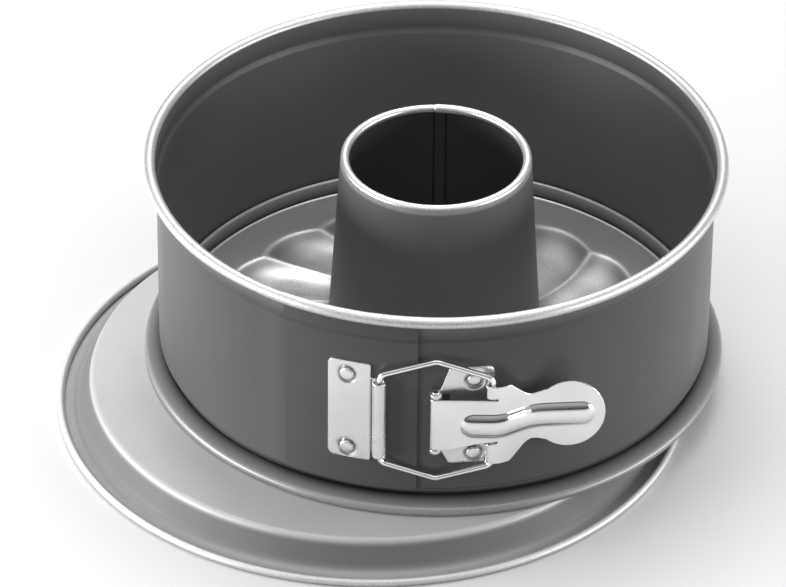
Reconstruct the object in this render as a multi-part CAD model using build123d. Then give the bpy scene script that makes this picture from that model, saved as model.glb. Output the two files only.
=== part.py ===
from build123d import *

import os
from math import asin, atan2, copysign, degrees, radians, sqrt, tan

# Springform pan, 18 cm, with a tube base fitted in the spring ring and a flat leak-proof
# base under it. Millimetres, +Z up. The origin is at table level, in the middle of the
# whole set's footprint. Every shape below is drawn about the ring's own axis, with z = 0
# where the ring's hem meets the flat base, and moved into place when it is written.

# Where the ring's axis and hem stand in the set's frame
RING_X = 14.3
RING_Y = 11.3
RING_Z = 10.86

SHEET = 0.5  # tinplate of the ring and the bases
LATCH_SHEET = 0.8  # nickelled steel of the latch

# Spring ring: rolled rim, stepped wall, inward bead, shelf and rolled hem
RIM_OUTER_R = 95.0
RIM_ROLL_R = 1.88
RIM_ROLL_Z = 73.98
RIM_ROLL_TURN = 295.0
WALL_R = 90.65  # middle of the sheet
STEP_TOP_Z = 66.9
STEP_FOOT_Z = 64.8
WALL_FOOT_Z = 8.0
FOLD_R = 89.95
BEAD_R = 89.1
BEAD_TOP_Z = 9.6
BEAD_FOOT_Z = 4.75
HEM_START = (94.5, 3.1)
HEM_ROLL_R = 1.45
HEM_ROLL_TURN = 250.0
TIGHT_BEND = 0.3
SOFT_BEND = 1.6

# The ring's ends: azimuths are counter-clockwise from +X, seen from above
SPLIT_AZ = 90.0  # the back, where the two halves meet
SPLIT_HALF_GAP = 0.05
SEAM_AZ = 239.0  # where the inner layer and both rolled edges end
SEAM_GAP = 0.2
TONGUE_END_AZ = 266.5  # free edge of the outer layer
JOG = 3.3  # sweep over which the outer layer steps outwards
JOG_MARGIN = 2.0  # plain wall left above and below the step
LAYER_STEP = 0.75  # sheet plus the gap between the layers
TONGUE_FOOT_Z = 7.9
TONGUE_TOP_Z = 71.3

# Flat base
FLAT_X = -20.5
FLAT_Y = -14.7
PLATEAU_R = 92.1
SLOPE_FOOT_R = 96.2
SLOPE_FOOT_BEND = 4.5
GUTTER_Z = -10.61  # middle of the sheet
FLAT_ROLL_START_R = 102.5
FLAT_ROLL_R = 1.05
FLAT_ROLL_TURN = 280.0

# Tube base
FLOOR_Z = 4.4
FLOOR_EDGE_R = 88.4
LOBED_FLOOR_R = 80.0  # the lobed middle of the floor ends here
SKIRT_R = 91.8
SKIRT_TOP_Z = 3.05
SKIRT_FOOT_Z = 0.7
LOBES = 18
LOBE_CENTRE_R = 55.0
LOBE_R = 20.3  # half width of a lobe at floor level
LOBE_DEPTH = 3.2
LOBE_FIRST_AZ = 13.3
TUBE_FOOT_R = 35.6
TUBE_SHEET = 0.5
TUBE_ROLL_R = 1.4
TUBE_ROLL_OUTER_R = 31.1
TUBE_ROLL_Z = 73.9
TUBE_ROLL_TURN = 285.0
TUBE_FLANGE_R = 38.5
TUBE_FLANGE_Z = 2.3
TUBE_HOLE_R = 35.8
TUBE_SEAM_AZ = 87.4
TUBE_SEAM_WIDTH = 3.4
TUBE_SEAM_PROUD = 0.4
TUBE_SEAM_MARGIN = 5.0

# Latch: x to the right of the front, z up, all on the front of the wall
LATCH_Z = 36.5
LEFT_PLATE = (-33.7, -20.3, 18.4, 55.7)  # x from, x to, z from, z to
RIGHT_PLATE = (4.4, 18.4, 18.8, 55.7)
PLATE_CORNER = 2.2
LEFT_RIVET_X = -27.7
RIGHT_RIVET_X = 12.25
RIVET_ZS = (22.3, 50.6)
RIVET_HEAD_R = 2.3
RIVET_HEAD_HEIGHT = 0.9
RIVET_HEAD_ROUND = 0.55
RIVET_SHANK_R = 1.4
RIVET_HOLE_R = 1.5

WIRE_R = 0.95
BAIL_LEFT = (-17.55, -92.3)  # axis of the bail in the left bracket's curl
BAIL_RIGHT = (18.15, -93.4)  # axis of the bail in the lever's hooks
BAIL_CORNER_HALF = 16.8
BAIL_APEX_HALF = 22.7
BAIL_BEND = 3.2
LEFT_CURL_R = 2.2
LEFT_CURL_BORE = 1.25
LEFT_CURL_Z = (21.9, 50.6)

PIN_X = 0.15
PIN_Y = -93.25
PIN_R = 1.16
PIN_Z = (24.2, 47.8)
EAR_R = 1.95
EAR_BORE = 1.18
UPPER_EAR_Z = (46.0, 47.4)
LOWER_EAR_Z = (24.6, 26.0)
EAR_TIP_X = 1.6  # the tab that carries each ear narrows to here

LEVER_CURL_R = 2.05
LEVER_CURL_TURN = 275.0
LEVER_SHEET_Y = PIN_Y - LEVER_CURL_R + LATCH_SHEET / 2
LEVER_CORNERS = ((20.4, 9.0), (31.0, 16.0))  # x and bend radius of the lever's two bends
LEVER_WAIST_Y = -88.5
LEVER_TIP = (56.0, -86.4)
LEVER_Z = 36.0
LEVER_TAIL_HALF = 9.6
SHOULDER_RIGHT_X = 24.0
SHOULDER_HALF = 14.8
HOOK_CENTRE_X = 17.7
HOOK_R = 1.75
HOOK_TURN = 185.0
WAIST_HALF = 8.45
PALM_X = 41.6
PALM_R = 12.2
NOTCH = ((4.8, 26.1), (13.0, 28.9), (20.5, 30.4))  # relief cut over the lower hook, x and z
UPPER_CUT_Z = 45.6
RELIEF = (5.0, 1.0)  # the cut's size beside the lower hook
WAIST_START_X = 29.5
RIB_X = (12.3, 45.6)
RIB_HALF = 3.1
RIB_HEIGHT = 0.9

STANDING = (Align.CENTER, Align.CENTER, Align.MIN)
HANGING = (Align.CENTER, Align.CENTER, Align.MAX)


def bend_arc(start, towards, radius, turn):
    """Arc that leaves start along a direction and turns by an angle, clockwise if negative."""
    arc = JernArc(start, towards, radius, turn)
    return arc.edge(), arc @ 1


def sheet_side(points, bends, rolls, shift):
    """One face of a bent sheet: its middle line moved to the left by shift.

    Corners have a bend radius each. A roll is a radius and a turn that goes on from an end
    of the line, clockwise where the turn is negative.
    """
    spots = [Vector(*point) for point in points]
    runs = [(b - a).normalized() for a, b in zip(spots, spots[1:])]
    lefts = [Vector(-run.Y, run.X) for run in runs]
    start_roll, end_roll = rolls
    edges = []
    first = pen = spots[0] + lefts[0] * shift
    if start_roll:
        radius, turn = start_roll
        edge, first = bend_arc(pen, runs[0] * -1, radius + copysign(1, turn) * shift, turn)
        edges.append(edge)
    for number, bend in enumerate(bends):
        run_in, run_out = runs[number], runs[number + 1]
        before, after = lefts[number], lefts[number + 1]
        corner = spots[number + 1] + (before + after) * (shift / (1 + before.dot(after)))
        turn = degrees(atan2(run_in.cross(run_out).Z, run_in.dot(run_out)))
        radius = bend - copysign(1, turn) * shift
        bend_start = corner - run_in * (radius * tan(radians(abs(turn) / 2)))
        edges.append(Line(pen, bend_start).edge())
        edge, pen = bend_arc(bend_start, run_in, radius, turn)
        edges.append(edge)
    last = spots[-1] + lefts[-1] * shift
    edges.append(Line(pen, last).edge())
    if end_roll:
        radius, turn = end_roll
        edge, last = bend_arc(last, runs[-1], radius - copysign(1, turn) * shift, turn)
        edges.append(edge)
    return edges, first, last


def sheet_outline(points, bends=(), rolls=(None, None), thickness=SHEET):
    """Closed outline of a bent sheet, from the corners of its middle line."""
    left, left_start, left_end = sheet_side(points, bends, rolls, thickness / 2)
    right, right_start, right_end = sheet_side(points, bends, rolls, -thickness / 2)
    caps = [Line(left_start, right_start).edge(), Line(left_end, right_end).edge()]
    return make_face(left + right + caps)


def turned(profile, start_az, sweep):
    """Sheet section drawn with x as radius and y as height, swept round the Z axis."""
    section = Plane.XZ * profile
    return Rot(0, 0, start_az) * revolve(section, axis=Axis.Z, revolution_arc=sweep)


def front_y(radius, x):
    """Y of a wall of this radius at a distance x to the right of the front."""
    return -sqrt(radius**2 - x**2)


def write(node, part):
    """Move a piece from the ring's frame to the set's frame and write its STEP file."""
    placed = Pos(RING_X, RING_Y, RING_Z) * part
    placed.label = node
    export_step(placed, f"parts/{node}.step")


# Spring ring


def ring_profile():
    upper_r = RIM_OUTER_R - 2 * RIM_ROLL_R + SHEET / 2
    corners = [
        (upper_r, RIM_ROLL_Z),
        (upper_r, STEP_TOP_Z),
        (WALL_R, STEP_FOOT_Z),
        (WALL_R, WALL_FOOT_Z),
        (FOLD_R, WALL_FOOT_Z),
        (FOLD_R, BEAD_TOP_Z),
        (BEAD_R, BEAD_TOP_Z),
        (BEAD_R, BEAD_FOOT_Z),
        HEM_START,
    ]
    bends = [SOFT_BEND] * 2 + [TIGHT_BEND] * 5
    rim_roll = (RIM_ROLL_R - SHEET / 2, -RIM_ROLL_TURN)
    hem_roll = (HEM_ROLL_R, -HEM_ROLL_TURN)
    return sheet_outline(corners, bends, (rim_roll, hem_roll))


def tongue_profile():
    upper_r = RIM_OUTER_R - 2 * RIM_ROLL_R + SHEET / 2
    corners = [
        (upper_r + LAYER_STEP, TONGUE_TOP_Z),
        (upper_r + LAYER_STEP, STEP_TOP_Z),
        (WALL_R + LAYER_STEP, STEP_FOOT_Z),
        (WALL_R + LAYER_STEP, TONGUE_FOOT_Z),
    ]
    return sheet_outline(corners, [SOFT_BEND] * 2)


def jog():
    """The outer layer steps from the wall's radius out to the tongue's, just left of the seam."""
    inner = WALL_R
    height = STEP_FOOT_Z - BEAD_TOP_Z - 2 * JOG_MARGIN
    sections = []
    for az, outer in (
        (SEAM_AZ - SEAM_GAP - JOG, WALL_R + SHEET / 2),
        (SEAM_AZ - SEAM_GAP, WALL_R + LAYER_STEP + SHEET / 2),
    ):
        middle = Pos((inner + outer) / 2, (STEP_FOOT_Z + BEAD_TOP_Z) / 2)
        face = Plane.XZ * (middle * Rectangle(outer - inner, height))
        sections.append(Rot(0, 0, az) * face)
    return loft(sections)


def rivet_axis(x, z, radius):
    """Place at a radius, behind x and z on the wall: local +Z points straight out."""
    az = degrees(asin(x / WALL_R))
    return Rot(0, 0, az) * Pos(0, -radius, z) * Rot(90, 0, 0)


def rivet_holes(x, plate_r):
    return [
        rivet_axis(x, z, plate_r) * Cylinder(RIVET_HOLE_R, 6 * LATCH_SHEET) for z in RIVET_ZS
    ]


def band_right():
    sweep = 360 + SPLIT_AZ - SPLIT_HALF_GAP - SEAM_AZ
    band = turned(ring_profile(), SEAM_AZ, sweep)
    return band - rivet_holes(RIGHT_RIVET_X, WALL_R)


def band_left():
    start = SPLIT_AZ + SPLIT_HALF_GAP
    end = SEAM_AZ - SEAM_GAP
    band = turned(ring_profile(), start, end - start)
    tongue = turned(tongue_profile(), end - SEAM_GAP, TONGUE_END_AZ - end + SEAM_GAP)
    return band + jog() + tongue - rivet_holes(LEFT_RIVET_X, WALL_R + LAYER_STEP)


# Flat base


def flat_base():
    corners = [
        (0, -SHEET / 2),
        (PLATEAU_R, -SHEET / 2),
        (SLOPE_FOOT_R, GUTTER_Z),
        (FLAT_ROLL_START_R, GUTTER_Z),
    ]
    edge_roll = (FLAT_ROLL_R, FLAT_ROLL_TURN)
    half = sheet_outline(corners, [SOFT_BEND, SLOPE_FOOT_BEND], (None, edge_roll))
    return Pos(FLAT_X, FLAT_Y, 0) * turned(half, 0, 360)


# Tube base


def floor_sector():
    """One lobe of the floor: flat sheet with a shallow bowl pressed into it."""
    pitch = 360 / LOBES
    width = LOBED_FLOOR_R - TUBE_HOLE_R
    middle_r = (LOBED_FLOOR_R + TUBE_HOLE_R) / 2
    depth = LOBE_DEPTH + SHEET
    flat = Pos(middle_r, FLOOR_Z - SHEET / 2) * Rectangle(width, SHEET)
    deep = Pos(middle_r, FLOOR_Z - depth / 2) * Rectangle(width, depth)
    ball_r = (LOBE_R**2 + LOBE_DEPTH**2) / (2 * LOBE_DEPTH)
    ball_spot = Pos(LOBE_CENTRE_R, 0, FLOOR_Z - LOBE_DEPTH + ball_r)
    bowl = turned(deep, -pitch / 2, pitch) & (ball_spot * Sphere(ball_r + SHEET))
    return turned(flat, -pitch / 2, pitch) + bowl - ball_spot * Sphere(ball_r)


def tube_base_plate():
    corners = [
        (LOBED_FLOOR_R, FLOOR_Z - SHEET / 2),
        (FLOOR_EDGE_R, FLOOR_Z - SHEET / 2),
        (SKIRT_R, SKIRT_TOP_Z),
        (SKIRT_R, SKIRT_FOOT_Z),
    ]
    rim = turned(sheet_outline(corners, [TIGHT_BEND] * 2), 0, 360)
    sector = floor_sector()
    azimuths = [LOBE_FIRST_AZ + lobe * 360 / LOBES for lobe in range(LOBES)]
    return rim + [Rot(0, 0, az) * sector for az in azimuths]


def centre_tube():
    """Tapered tube with its rim rolled inwards, a foot flange and a lock seam inside."""
    foot_r = TUBE_FOOT_R - TUBE_SHEET / 2
    top_r = TUBE_ROLL_OUTER_R - TUBE_SHEET / 2
    corners = [(TUBE_FLANGE_R, TUBE_FLANGE_Z), (foot_r, TUBE_FLANGE_Z), (top_r, TUBE_ROLL_Z)]
    edge_roll = (TUBE_ROLL_R - TUBE_SHEET / 2, TUBE_ROLL_TURN)
    tube = turned(sheet_outline(corners, [TIGHT_BEND], (None, edge_roll), TUBE_SHEET), 0, 360)
    slope = (foot_r - top_r) / (TUBE_ROLL_Z - TUBE_FLANGE_Z)
    seam_foot = TUBE_FLANGE_Z + TUBE_SEAM_MARGIN
    seam_top = TUBE_ROLL_Z - TUBE_SEAM_MARGIN
    seam_middle = (seam_foot + seam_top) / 2
    seam_r = foot_r - slope * (seam_middle - TUBE_FLANGE_Z) - TUBE_SEAM_PROUD
    seam = Box(TUBE_SHEET, TUBE_SEAM_WIDTH, seam_top - seam_foot)
    lean = Rot(0, -degrees(atan2(slope, 1)), 0)
    return tube + Rot(0, 0, TUBE_SEAM_AZ) * Pos(seam_r, 0, seam_middle) * lean * seam


# Latch


def wall_plate(extent, inner_r):
    """Plate bent to the wall: a rounded rectangle seen from the front."""
    x0, x1, z0, z1 = extent
    shell = turned(
        Pos(inner_r + LATCH_SHEET / 2, LATCH_Z) * Rectangle(LATCH_SHEET, z1 - z0 + PLATE_CORNER),
        225,
        90,
    )
    outline = Pos((x0 + x1) / 2, (z0 + z1) / 2) * RectangleRounded(x1 - x0, z1 - z0, PLATE_CORNER)
    return shell & extrude(Plane.XZ * outline, amount=2 * inner_r)


def upright(outline, z_range):
    """A plan outline, x and y, raised between two heights."""
    return Pos(0, 0, z_range[0]) * extrude(outline, amount=z_range[1] - z_range[0])


def knuckle_strip(axis_xy, outer_r, plate_x, plate_r):
    """Plan of the sheet that runs from a plate to the back of its curl."""
    x, y = axis_xy
    back = y + outer_r
    corners = [
        (x, back - LATCH_SHEET),
        (x, back),
        (plate_x, front_y(plate_r, plate_x)),
        (plate_x, front_y(plate_r + LATCH_SHEET, plate_x)),
    ]
    return make_face(Polyline(*corners, close=True))


def knuckle(axis_xy, outer_r, bore_r, z_range, plate_x, plate_r):
    """Sheet curled round an upright pin or wire, with the strip that joins it to its plate."""
    x, y = axis_xy
    strip = upright(knuckle_strip(axis_xy, outer_r, plate_x, plate_r), z_range)
    solid = upright(Pos(x, y) * Circle(outer_r), z_range) + strip
    return solid - upright(Pos(x, y) * Circle(bore_r), z_range)


def left_bracket():
    plate_r = WALL_R + LAYER_STEP + SHEET / 2
    plate = wall_plate(LEFT_PLATE, plate_r)
    join_x = LEFT_PLATE[1] - LATCH_SHEET
    curl = knuckle(BAIL_LEFT, LEFT_CURL_R, LEFT_CURL_BORE, LEFT_CURL_Z, join_x, plate_r)
    return plate + curl - rivet_holes(LEFT_RIVET_X, plate_r)


def right_bracket():
    plate_r = WALL_R + SHEET / 2
    bracket = wall_plate(RIGHT_PLATE, plate_r)
    join_x = RIGHT_PLATE[0] + LATCH_SHEET
    _, _, plate_foot, plate_top = RIGHT_PLATE
    for z_range, plate_end in ((LOWER_EAR_Z, plate_foot), (UPPER_EAR_Z, plate_top)):
        bracket += knuckle((PIN_X, PIN_Y), EAR_R, EAR_BORE, z_range, join_x, plate_r)
        near, far = sorted(z_range, key=lambda z: abs(z - plate_end), reverse=True)
        corners = [(EAR_TIP_X, near), (EAR_TIP_X, far), (join_x, plate_end), (join_x, near)]
        outline = make_face(Polyline(*corners, close=True))
        strip = knuckle_strip((PIN_X, PIN_Y), EAR_R, join_x, plate_r)
        tab = upright(strip, (plate_foot, plate_top))
        bracket += tab & extrude(Plane.XZ * outline, amount=2 * plate_r)
    return bracket - rivet_holes(RIGHT_RIVET_X, plate_r)


def rivets(x, inner_r, plate_r):
    """Two rivets, flush inside the wall, with a low round head on the plate."""
    face_r = plate_r + LATCH_SHEET
    shank_length = face_r - inner_r
    pair = []
    for z in RIVET_ZS:
        place = rivet_axis(x, z, face_r)
        head = Cylinder(RIVET_HEAD_R, RIVET_HEAD_HEIGHT, align=STANDING)
        head = fillet(head.edges().group_by(Axis.Z)[-1], RIVET_HEAD_ROUND)
        shank = Cylinder(RIVET_SHANK_R, shank_length, align=HANGING)
        pair.append(place * (head + shank))
    return Compound(children=pair)


def pivot_pin():
    return upright(Pos(PIN_X, PIN_Y) * Circle(PIN_R), PIN_Z)


def bail():
    """Six-sided wire loop with two upright sides, one in each half of the latch."""
    (x0, y0), (x1, y1) = BAIL_LEFT, BAIL_RIGHT
    middle = ((x0 + x1) / 2, (y0 + y1) / 2)
    corners = []
    for side, (x, y) in ((1, BAIL_LEFT), (-1, BAIL_RIGHT)):
        corners.append((x, y, LATCH_Z - side * BAIL_CORNER_HALF))
        corners.append((x, y, LATCH_Z + side * BAIL_CORNER_HALF))
        corners.append((*middle, LATCH_Z + side * BAIL_APEX_HALF))
    path = FilletPolyline(*corners, radius=BAIL_BEND, close=True)
    start = path.edges().sort_by(Axis.X)[0]
    section = Plane(origin=start @ 0.5, z_dir=start % 0.5) * Circle(WIRE_R)
    return sweep(section, path=path)


def lever_sheet(thickness=LATCH_SHEET):
    """Plan of the lever: curl round the pin, flat tail, two bends, finger tip."""
    (bend_x, bend_r), (waist_x, waist_r) = LEVER_CORNERS
    corners = [(PIN_X, LEVER_SHEET_Y), (bend_x, LEVER_SHEET_Y), (waist_x, LEVER_WAIST_Y), LEVER_TIP]
    return sheet_outline(corners, [bend_r, waist_r], thickness=thickness)


def lever_outline():
    """The flat lever seen from the front, x and z."""
    tail = Polyline(
        (PIN_X - 2 * LEVER_CURL_R, LEVER_Z + LEVER_TAIL_HALF),
        (PIN_X - 2 * LEVER_CURL_R, LEVER_Z - LEVER_TAIL_HALF),
        (NOTCH[0][0], LEVER_Z - LEVER_TAIL_HALF),
        NOTCH[1],
        NOTCH[2],
        (NOTCH[2][0], LEVER_Z + LEVER_TAIL_HALF),
        close=True,
    )
    shoulders = Polyline(
        (HOOK_CENTRE_X, LEVER_Z - SHOULDER_HALF),
        (SHOULDER_RIGHT_X, LEVER_Z - SHOULDER_HALF),
        (WAIST_START_X, LEVER_Z - WAIST_HALF),
        (PALM_X, LEVER_Z - WAIST_HALF),
        (PALM_X, LEVER_Z + WAIST_HALF),
        (WAIST_START_X, LEVER_Z + WAIST_HALF),
        (SHOULDER_RIGHT_X, LEVER_Z + SHOULDER_HALF),
        (HOOK_CENTRE_X, LEVER_Z + SHOULDER_HALF),
        close=True,
    )
    relief = Pos(HOOK_CENTRE_X, NOTCH[1][1] + RELIEF[1] / 2) * Rectangle(*RELIEF)
    palm = Pos(PALM_X, LEVER_Z) * Circle(PALM_R)
    return make_face(tail) + make_face(shoulders) + palm - relief


def lever_hook(z_range):
    """Shoulder edge bent back towards the wall round the bail's wire, open to the right."""
    flat = [(HOOK_CENTRE_X + LATCH_SHEET, LEVER_SHEET_Y), (HOOK_CENTRE_X, LEVER_SHEET_Y)]
    hook = sheet_outline(flat, rolls=(None, (HOOK_R, -HOOK_TURN)), thickness=LATCH_SHEET)
    return upright(hook, z_range)


def lever():
    tall = (LEVER_Z - SHOULDER_HALF - 1, LEVER_Z + SHOULDER_HALF + 1)
    depth = 2 * RIM_OUTER_R
    curl = (LEVER_CURL_R - LATCH_SHEET / 2, -LEVER_CURL_TURN)
    body = upright(lever_sheet(), tall) & extrude(Plane.XZ * lever_outline(), amount=depth)
    tail_z = (LEVER_Z - LEVER_TAIL_HALF, LEVER_Z + LEVER_TAIL_HALF)
    tail_end = [(NOTCH[0][0], LEVER_SHEET_Y), (PIN_X, LEVER_SHEET_Y)]
    body += upright(sheet_outline(tail_end, rolls=(None, curl), thickness=LATCH_SHEET), tail_z)
    body += lever_hook((LEVER_Z - SHOULDER_HALF, NOTCH[1][1]))
    body += lever_hook((UPPER_CUT_Z, LEVER_Z + SHOULDER_HALF))
    rib_outline = Pos(sum(RIB_X) / 2, LEVER_Z) * SlotCenterToCenter(RIB_X[1] - RIB_X[0], 2 * RIB_HALF)
    raised = upright(lever_sheet(LATCH_SHEET + 2 * RIB_HEIGHT) - lever_sheet(), tall)
    rib = (raised & extrude(Plane.XZ * rib_outline, amount=depth)).solids().sort_by(Axis.Y)[0]
    return body + rib


def main():
    os.makedirs("parts", exist_ok=True)
    write("flat_base", flat_base())
    write("tube_base_plate", tube_base_plate())
    write("centre_tube", centre_tube())
    write("band_right", band_right())
    write("band_left", band_left())
    write("left_bracket", left_bracket())
    outer_layer_r = WALL_R + LAYER_STEP
    write("left_rivets", rivets(LEFT_RIVET_X, outer_layer_r - SHEET / 2, outer_layer_r + SHEET / 2))
    write("right_bracket", right_bracket())
    write("right_rivets", rivets(RIGHT_RIVET_X, WALL_R - SHEET / 2, WALL_R + SHEET / 2))
    write("pivot_pin", pivot_pin())
    write("bail", bail())
    write("lever", lever())


main()
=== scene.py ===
import math

import bpy
import numpy as np
from mathutils import Matrix, Vector
from mathutils.geometry import delaunay_2d_cdt


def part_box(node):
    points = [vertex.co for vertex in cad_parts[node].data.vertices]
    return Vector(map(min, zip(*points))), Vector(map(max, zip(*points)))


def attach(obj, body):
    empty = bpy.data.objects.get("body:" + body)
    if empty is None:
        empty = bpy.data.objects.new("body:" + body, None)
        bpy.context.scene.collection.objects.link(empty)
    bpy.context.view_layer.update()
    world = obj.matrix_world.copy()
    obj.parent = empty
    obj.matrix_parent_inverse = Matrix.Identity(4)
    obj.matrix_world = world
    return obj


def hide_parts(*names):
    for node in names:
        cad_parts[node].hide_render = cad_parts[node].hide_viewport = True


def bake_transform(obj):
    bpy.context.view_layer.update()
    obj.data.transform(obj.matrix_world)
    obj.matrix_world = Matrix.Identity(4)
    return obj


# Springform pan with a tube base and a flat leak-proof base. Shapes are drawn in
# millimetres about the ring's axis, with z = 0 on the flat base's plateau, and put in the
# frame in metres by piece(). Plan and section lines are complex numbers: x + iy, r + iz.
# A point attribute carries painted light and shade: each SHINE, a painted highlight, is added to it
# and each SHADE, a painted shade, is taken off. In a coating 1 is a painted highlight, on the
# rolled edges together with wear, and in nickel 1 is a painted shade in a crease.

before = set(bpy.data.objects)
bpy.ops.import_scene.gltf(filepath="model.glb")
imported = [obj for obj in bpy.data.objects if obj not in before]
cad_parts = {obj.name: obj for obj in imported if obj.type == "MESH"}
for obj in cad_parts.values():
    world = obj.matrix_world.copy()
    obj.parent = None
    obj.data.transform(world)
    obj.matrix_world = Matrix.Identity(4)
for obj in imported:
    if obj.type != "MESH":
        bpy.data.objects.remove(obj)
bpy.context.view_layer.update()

MM = 0.001


def middle(node):
    low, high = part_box(node)
    return (low + high) / 2


TUBE_AT = middle("centre_tube")
FLAT_AT = middle("flat_base")
PLATEAU_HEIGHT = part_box("flat_base")[1].z
RING_AT = Vector((TUBE_AT.x, TUBE_AT.y, PLATEAU_HEIGHT))
FLAT_OFFSET = (FLAT_AT - RING_AT) / MM

SHEET = 0.5
LATCH_SHEET = 0.8

# Spring ring
RIM_OUTER_R = 95.0
RIM_ROLL_R = 1.88
RIM_ROLL_Z = 73.98
RIM_ROLL_TURN = -295.0
NECK_R = RIM_OUTER_R - 2 * RIM_ROLL_R + SHEET / 2  # the wall between the rim and the step
WALL_R = 90.65
STEP_TOP_Z = 66.9
STEP_FOOT_Z = 64.8
STEP_BEND = 1.6
WALL_FOOT_Z = 8.0
FOLD_R = 89.95
BEAD_R = 89.1
BEAD_TOP_Z = 9.6
BEAD_FOOT_Z = 4.75
HEM_START = (94.5, 3.1)
HEM_ROLL_R = 1.45
HEM_ROLL_TURN = -250.0
FOOT_BENDS = (0.34, 0.3, 0.27, 0.56, 0.5)  # at the fold, the bead and the hem
SPLIT_AZ = 90.0
SEAM_AZ = 239.0
SEAM_GAP = 0.09
TONGUE_END_AZ = 266.5
LAYER_STEP = 0.75
TONGUE_FOOT_Z = 7.9
TONGUE_TOP_Z = 71.3
SPIRAL_SWEEP = 7.0  # the wall eases outwards over this angle before the seam
SEAM_PINCH = 0.26  # the rolled edges are a little thinner just before the seam
SEAM_PINCH_SWEEP = 25.0
CUT_PINCH = 0.12  # the rolled edges start with a softly rounded cut after the seam
CUT_SWEEP = 0.12
ROLL_REACH = 2.2  # a pinch moves the points this close to a roll's centre
ROLL_FADE = 0.4
FLEX_HALF = 35.0  # the back of the ring is a piece of its own over this angle each way
AZ_STEP = 1.5
# Painted highlight on the hem, and painted shade in the recess over the hem and on the wall's
# outside
HEM_SHINE = 0.32
RECESS_SHADE = 0.25
WALL_SHADE = 0.085

# Flat base
PLATEAU_R = 92.1
SLOPE_FOOT_R = 96.2
GUTTER_Z = -10.61
FLAT_ROLL_START_R = 102.5
FLAT_ROLL_R = 1.05
FLAT_ROLL_TURN = 280.0
FLAT_BENDS = (1.6, 4.5)  # at the plateau's edge and the slope's foot
# Painted highlights on the rolled edge, together with its wear, and on the plateau's lip; painted
# shade on the slope and in the gutter
FLAT_ROLL_SHINE = 0.5
FLAT_LIP_SHINE = 0.05
SLOPE_SHADE = 0.8
GUTTER_SHADE = 0.3

# Tube base
FLOOR_Z = 4.4
FLOOR_EDGE_R = 88.4
SKIRT_R = 91.8
SKIRT_TOP_Z = 3.05
SKIRT_FOOT_Z = 0.7
SKIRT_BEND = 0.5
FLAT_RING_R = 78.0  # the floor is pressed inside this radius
FINE_FLOOR_R = 66.0  # the lobes' outline, which needs a finer mesh, lies outside this
LOBES = 18
LOBE_CENTRE_R = 55.0
LOBE_R = 20.3
LOBE_DEPTH = 3.6
LOBE_FIRST_AZ = 13.3
LOBE_SWIRL = 0.34  # degrees of turn for each millimetre inside the lobes' outline
LOBE_OUTLINE_R = 75.0
LOBE_SIDE = 2.7  # the higher, the steeper the lobe's side and the flatter its bottom
LOBE_EDGE_SOFTNESS = 0.05
RIDGE_RISE = 0.45
RIDGE_SOFTNESS = 0.003
# Painted highlights on the lobes' edges, ridges and hollows, and painted shade in a band inside the
# edges
LOBE_EDGE_SHINE = 0.9
RIDGE_SHINE = 0.6  # as a share of the edge's
LOBE_BAND_SHADE = 0.7
LOBE_HOLLOW_SHINE = 1.1
LOBE_SPANS = 28  # mesh rows for each lobe
LIP_R = 88.05
LIP_HEIGHT = 0.45
LIP_WIDTH = 0.4
TUBE_FOOT_R = 35.6
TUBE_ROLL_R = 1.4
TUBE_ROLL_OUTER_R = 31.1
TUBE_ROLL_Z = 73.9
TUBE_FLANGE_R = 38.5
TUBE_FLANGE_Z = 2.3
TUBE_ROLL_TURN = 285.0
TUBE_SEAM_AZ = 87.4
TUBE_SEAM_HALF = 1.85
TUBE_SEAM_PROUD = 0.45
TUBE_SEAM_GROOVE = 0.35
TUBE_SEAM_R = 32.0  # distances across the seam are measured at this radius
TUBE_SEAM_SWEEP = 6.5  # the mesh is finer this far each side of the seam
TUBE_WALL_R = 30.0  # the seam is in the wall, outside this radius, and not in the roll
TUBE_ROLL_STEP = 0.16  # the roll steps in past the seam and recovers over a distance
TUBE_ROLL_FADE = 25.0
BORE_SHADE_LEVEL = -0.17  # painted shade: the attribute's value down the inside of the tube

# Latch
LATCH_Z = 36.5
LEFT_PLATE = (-33.7, -20.3, 18.4, 55.7)
RIGHT_PLATE = (4.4, 18.4, 18.8, 55.7)
LEFT_RIVET_X = -27.7
RIGHT_RIVET_X = 12.25
RIVET_ZS = (22.3, 50.6)
RIVET_R = 2.3
DIMPLE_R = 3.7
DIMPLE_DEPTH = 0.5
DIMPLE_SIDE = 1.15
# painted shade in the crease round each rivet's head
DIMPLE_CREASE_SHADE = 0.7
RIVET_HEAD = 0.25  # how far a rivet's head stands out of its plate
RIVET_SHANK_R = 1.4
RIVET_TAIL_R = 1.9
PLATE_EDGE = 0.22
PLATE_GRID = 0.45
WIRE_R = 0.95
BAIL_LEFT = (-17.55, -92.3)
BAIL_RIGHT = (18.15, -93.4)
BAIL_CORNER_HALF = 16.8
BAIL_APEX_HALF = 22.7
BAIL_BEND = 3.2
LEFT_CURL_R = 2.2
LEFT_CURL_TURN = -292.0
LEFT_CURL_Z = (21.9, 50.6)
PIN = (0.15, -93.25)
PIN_R = 1.16
PIN_Z = (24.2, 47.8)
EAR_R = 1.95
UPPER_EAR_Z = (46.0, 47.4)
LOWER_EAR_Z = (24.6, 26.0)
EAR_TIP_X = 1.6
EAR_TURN = 262.0
LEVER_CURL_R = 2.05
LEVER_CURL_TURN = -275.0
LEVER_BENDS = ((20.4, 9.0), (31.0, 16.0))
LEVER_WAIST_Y = -88.5
LEVER_TIP = (53.8, -86.6)
LEVER_Z = 36.0
LEVER_TAIL_HALF = 9.6
SHOULDER_RIGHT_X = 23.6
SHOULDER_HALF = 14.8
HOOK_X = 17.7
HOOK_R = 1.75
HOOK_TURN = -185.0
HOOK_REACH = 1.9  # the hooks' flaps end this far past the hooks' bend
CUT_REACH = 2.1  # and the cuts beside them this far
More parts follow.
